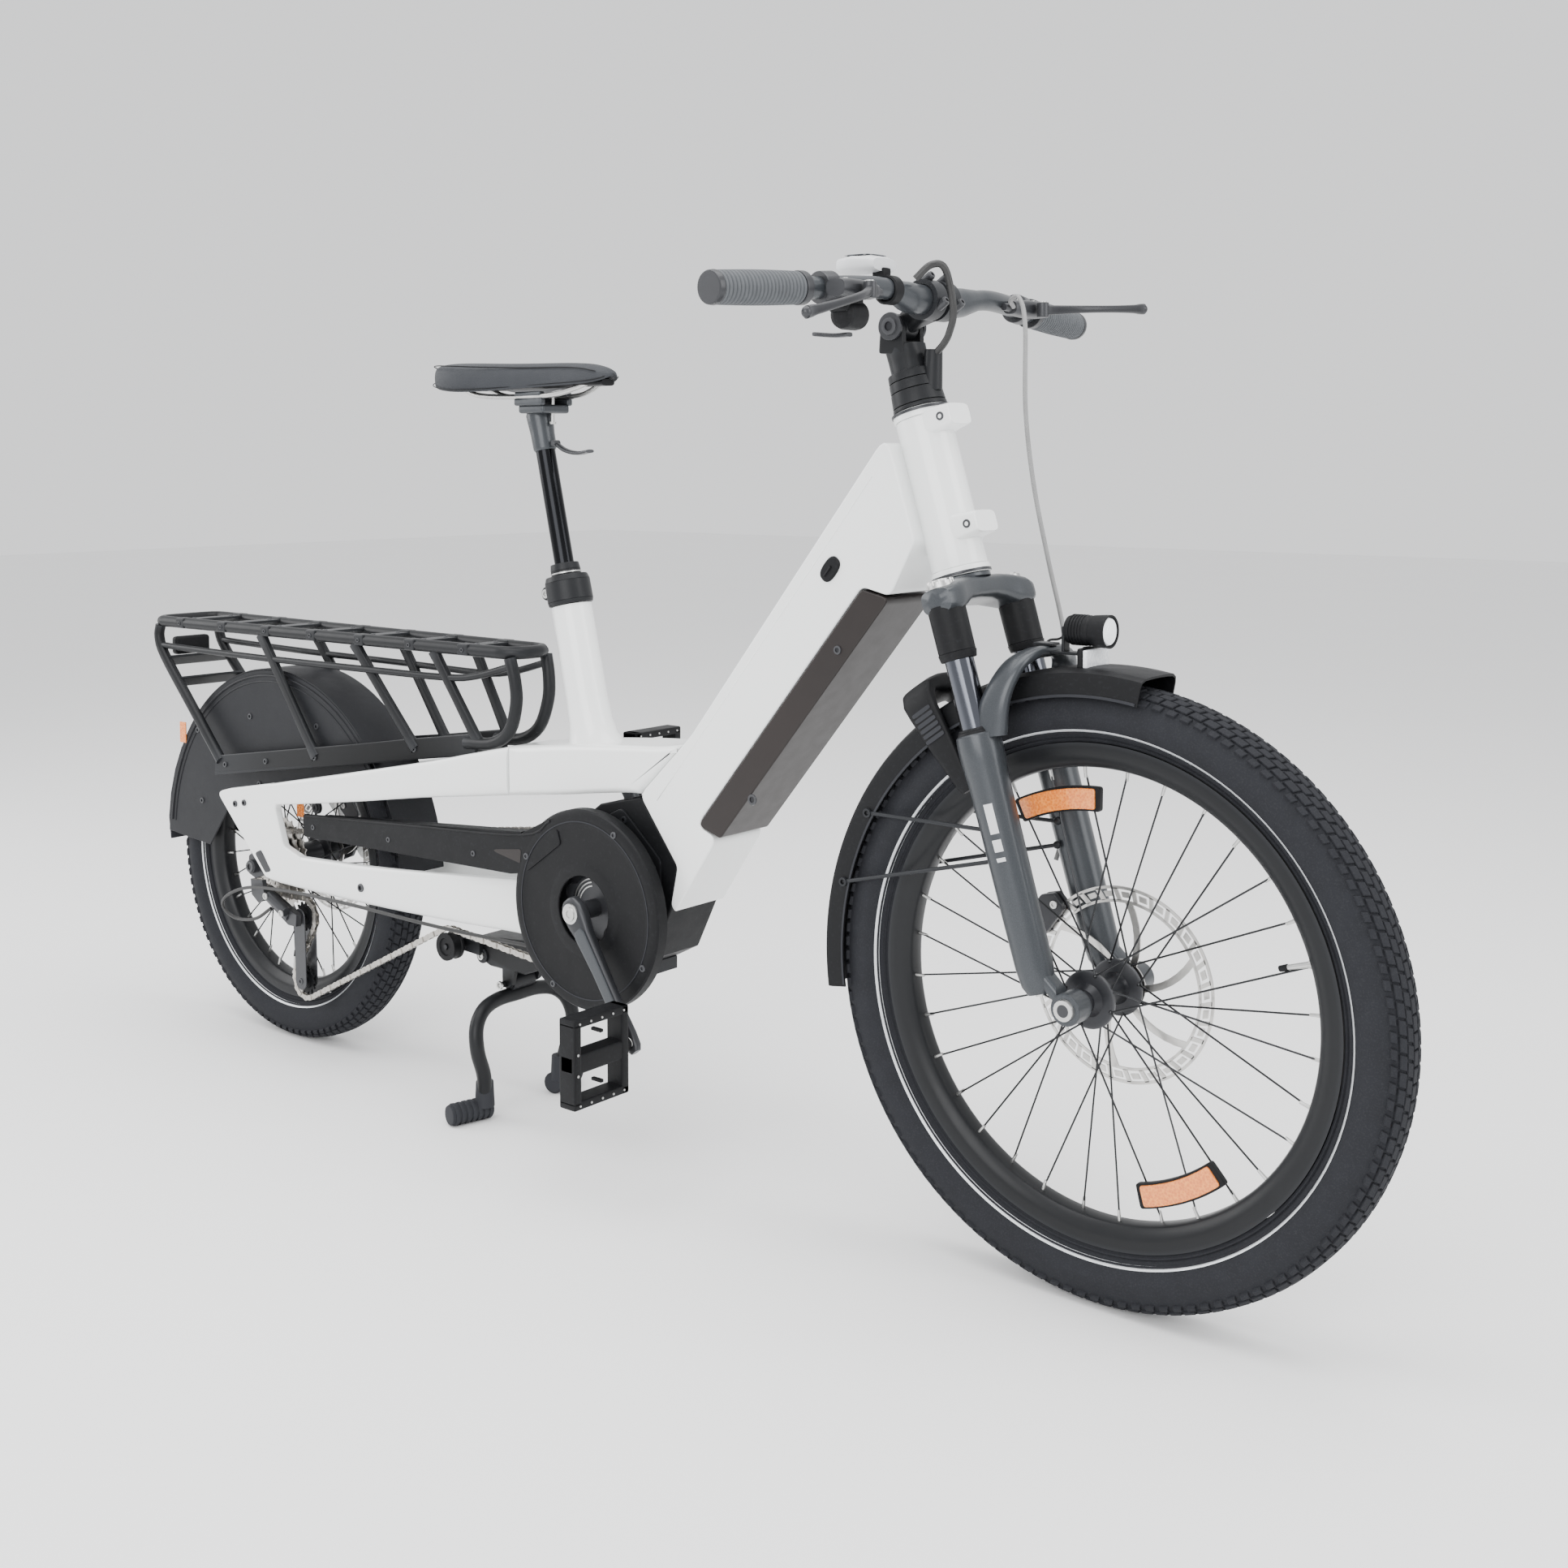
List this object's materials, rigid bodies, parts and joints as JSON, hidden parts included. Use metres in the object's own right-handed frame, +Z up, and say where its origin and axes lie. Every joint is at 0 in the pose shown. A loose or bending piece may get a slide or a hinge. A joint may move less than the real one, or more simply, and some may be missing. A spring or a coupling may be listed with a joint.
{
  "type": "cargo bicycle",
  "caption": "Long-tail electric cargo bicycle with small wheels, rear rack, suspension fork, box-section frame, mid motor and centre stand.",
  "frame": {"origin": "ground under the middle of the bicycle's footprint", "axes": "+X forwards, +Y to the rider's left, +Z up"},
  "size_m": [1.9344, 0.6636, 1.054],
  "materials": {
    "white_paint": "gloss white paint",
    "black_paint": "satin black paint",
    "black_plastic": "matt black moulding",
    "tyre": "black rubber tread",
    "cable": "black sheath",
    "grip": "grey ribbed rubber",
    "graphite": "graphite metallic paint",
    "dark_chrome": "dark polished",
    "steel": "bare steel",
    "black_alloy": "black anodised",
    "vinyl": "black synthetic cover",
    "cover": "black-brown moulding",
    "housing": "light grey moulding"
  },
  "bodies": {
    "frame": {"down_tube": "white_paint", "seat_beam": "white_paint", "rear_stays_right": "white_paint", "rear_stays_left": "white_paint", "motor": "black_plastic", "chain_guard": "black_plastic", "seat_clamp": "black_paint", "rack_deck": "black_paint", "rack_side_right": "black_paint", "rack_side_left": "black_paint", "wheel_guard_right": "black_plastic", "wheel_guard_left": "black_plastic", "rear_caliper": "black_alloy", "stand_bracket": "black_paint", "derailleur": "black_alloy", "rear_axle": "black_alloy", "chain": "steel"},
    "battery_pack": {"battery": "cover"},
    "steerer": {"fork_crown": "dark_chrome", "stem_column": "black_paint", "front_brake_hose": "cable", "cable_bundle": "cable"},
    "bars": {"stem_head": "black_paint", "handlebar": "black_paint", "grip_right": "grip", "grip_left": "grip", "lever_clamp_right": "black_alloy", "lever_clamp_left": "black_alloy", "display": "housing"},
    "lever_right": {"brake_lever_right": "black_alloy"},
    "lever_left": {"brake_lever_left": "black_alloy"},
    "shifter": {"shift_lever": "black_alloy"},
    "lowers": {"fork_lowers": "graphite", "front_axle": "black_alloy", "front_caliper": "black_alloy", "front_mudguard": "black_plastic", "ring_lock": "black_plastic"},
    "lamp": {"headlight": "black_plastic"},
    "front_wheel": {"front_tyre": "tyre", "front_rim": "black_paint", "front_hub": "black_alloy", "front_rotor": "steel"},
    "rear_wheel": {"rear_tyre": "tyre", "rear_rim": "black_paint", "rear_hub": "black_alloy", "rear_rotor": "steel"},
    "sprockets": {"cassette": "steel"},
    "cranks": {"chainring": "black_alloy", "crank_right": "graphite", "crank_left": "graphite"},
    "pedal_r": {"pedal_right": "black_plastic"},
    "pedal_l": {"pedal_left": "black_plastic"},
    "seat": {"seatpost": "dark_chrome", "saddle": "vinyl"},
    "dropper": {"dropper_lever": "black_alloy"},
    "centre_stand": {"stand": "black_paint"},
    "cage": {"derailleur_cage": "black_alloy"},
    "guide_wheel": {"jockey_upper": "black_plastic"},
    "tension_wheel": {"jockey_lower": "black_plastic"},
    "chain_wheel": {"chain_roller": "black_plastic"}
  },
  "joints": [
    {"name": "steer", "type": "hinge", "parent": "frame", "child": "steerer", "pos_m": [0.482, 0, 0.722], "axis": [-0.2924, 0, 0.9563], "range_deg": [-45, 45]},
    {"name": "fork_travel", "type": "slide", "parent": "steerer", "child": "lowers", "axis": [-0.2924, 0, 0.9563], "range_m": [0, 0.05], "stiffness_N_per_m": 9000, "springref_m": -0.02, "deforming": ["front_brake_hose"]},
    {"name": "front_wheel_spin", "type": "hinge", "parent": "lowers", "child": "front_wheel", "pos_m": [0.654, 0, 0.3135], "axis": [0, 1, 0], "continuous": true},
    {"name": "lamp_tilt", "type": "hinge", "parent": "lowers", "child": "lamp", "pos_m": [0.627, 0, 0.676], "axis": [0, 1, 0], "range_deg": [-10, 3]},
    {"name": "stem_angle", "type": "hinge", "parent": "steerer", "child": "bars", "pos_m": [0.404, 0, 0.986], "axis": [0, 1, 0], "range_deg": [-30, 15], "deforming": ["cable_bundle"]},
    {"name": "brake_squeeze_right", "type": "hinge", "parent": "bars", "child": "lever_right", "pos_m": [0.4796, -0.16, 1.01], "axis": [0, 0, 1], "range_deg": [-12, 0], "stiffness_Nm_per_rad": 1, "springref_deg": 5.73},
    {"name": "brake_squeeze_left", "type": "hinge", "parent": "bars", "child": "lever_left", "pos_m": [0.4796, 0.16, 1.01], "axis": [0, 0, 1], "range_deg": [0, 12], "stiffness_Nm_per_rad": 1, "springref_deg": -5.73},
    {"name": "shift_thumb", "type": "hinge", "parent": "bars", "child": "shifter", "pos_m": [0.4332, -0.136, 0.98324], "axis": [0, 0, 1], "range_deg": [-20, 0], "stiffness_Nm_per_rad": 0.2, "springref_deg": 5.73},
    {"name": "battery_slide", "type": "slide", "parent": "frame", "child": "battery_pack", "axis": [0.9605, 0, -0.2784], "range_m": [0, 0.02]},
    {"name": "rear_wheel_spin", "type": "hinge", "parent": "frame", "child": "rear_wheel", "pos_m": [-0.679, 0, 0.263], "axis": [0, 1, 0], "continuous": true},
    {"name": "cassette_spin", "type": "hinge", "parent": "frame", "child": "sprockets", "pos_m": [-0.679, 0, 0.263], "axis": [0, 1, 0], "continuous": true},
    {"name": "crank_spin", "type": "hinge", "parent": "frame", "child": "cranks", "pos_m": [-0.011, 0, 0.304], "axis": [0, 1, 0], "continuous": true},
    {"name": "pedal_spin_right", "type": "hinge", "parent": "cranks", "child": "pedal_r", "pos_m": [0.09598, 0, 0.17189], "axis": [0, 1, 0], "continuous": true},
    {"name": "pedal_spin_left", "type": "hinge", "parent": "cranks", "child": "pedal_l", "pos_m": [-0.11798, 0, 0.43611], "axis": [0, 1, 0], "continuous": true},
    {"name": "seat_height", "type": "slide", "parent": "frame", "child": "seat", "axis": [0.2247, 0, -0.9744], "range_m": [0, 0.1]},
    {"name": "dropper_press", "type": "hinge", "parent": "seat", "child": "dropper", "pos_m": [-0.12918, 0, 0.86657], "axis": [0, 1, 0], "range_deg": [-15, 0], "stiffness_Nm_per_rad": 0.6, "springref_deg": 11.46},
    {"name": "stand_fold", "type": "hinge", "parent": "frame", "child": "centre_stand", "pos_m": [-0.209, 0, 0.166], "axis": [0, 1, 0], "range_deg": [0, 85], "stiffness_Nm_per_rad": 4, "springref_deg": -17.19},
    {"name": "cage_swing", "type": "hinge", "parent": "frame", "child": "cage", "pos_m": [-0.603, 0, 0.196], "axis": [0, 1, 0], "range_deg": [-12, 12], "stiffness_Nm_per_rad": 3, "deforming": ["chain"]},
    {"name": "guide_wheel_spin", "type": "hinge", "parent": "cage", "child": "guide_wheel", "pos_m": [-0.603, 0, 0.196], "axis": [0, 1, 0], "continuous": true},
    {"name": "tension_wheel_spin", "type": "hinge", "parent": "cage", "child": "tension_wheel", "pos_m": [-0.601, 0, 0.104], "axis": [0, 1, 0], "continuous": true},
    {"name": "roller_spin", "type": "hinge", "parent": "frame", "child": "chain_wheel", "pos_m": [-0.287, 0, 0.208], "axis": [0, 1, 0], "continuous": true}
  ],
  "couplings": [
    {"joint": "cassette_spin", "follows": "crank_spin", "ratio": 2.225},
    {"joint": "guide_wheel_spin", "follows": "crank_spin", "ratio": -4.2381},
    {"joint": "tension_wheel_spin", "follows": "crank_spin", "ratio": 4.2381},
    {"joint": "roller_spin", "follows": "crank_spin", "ratio": -4.8108}
  ]
}
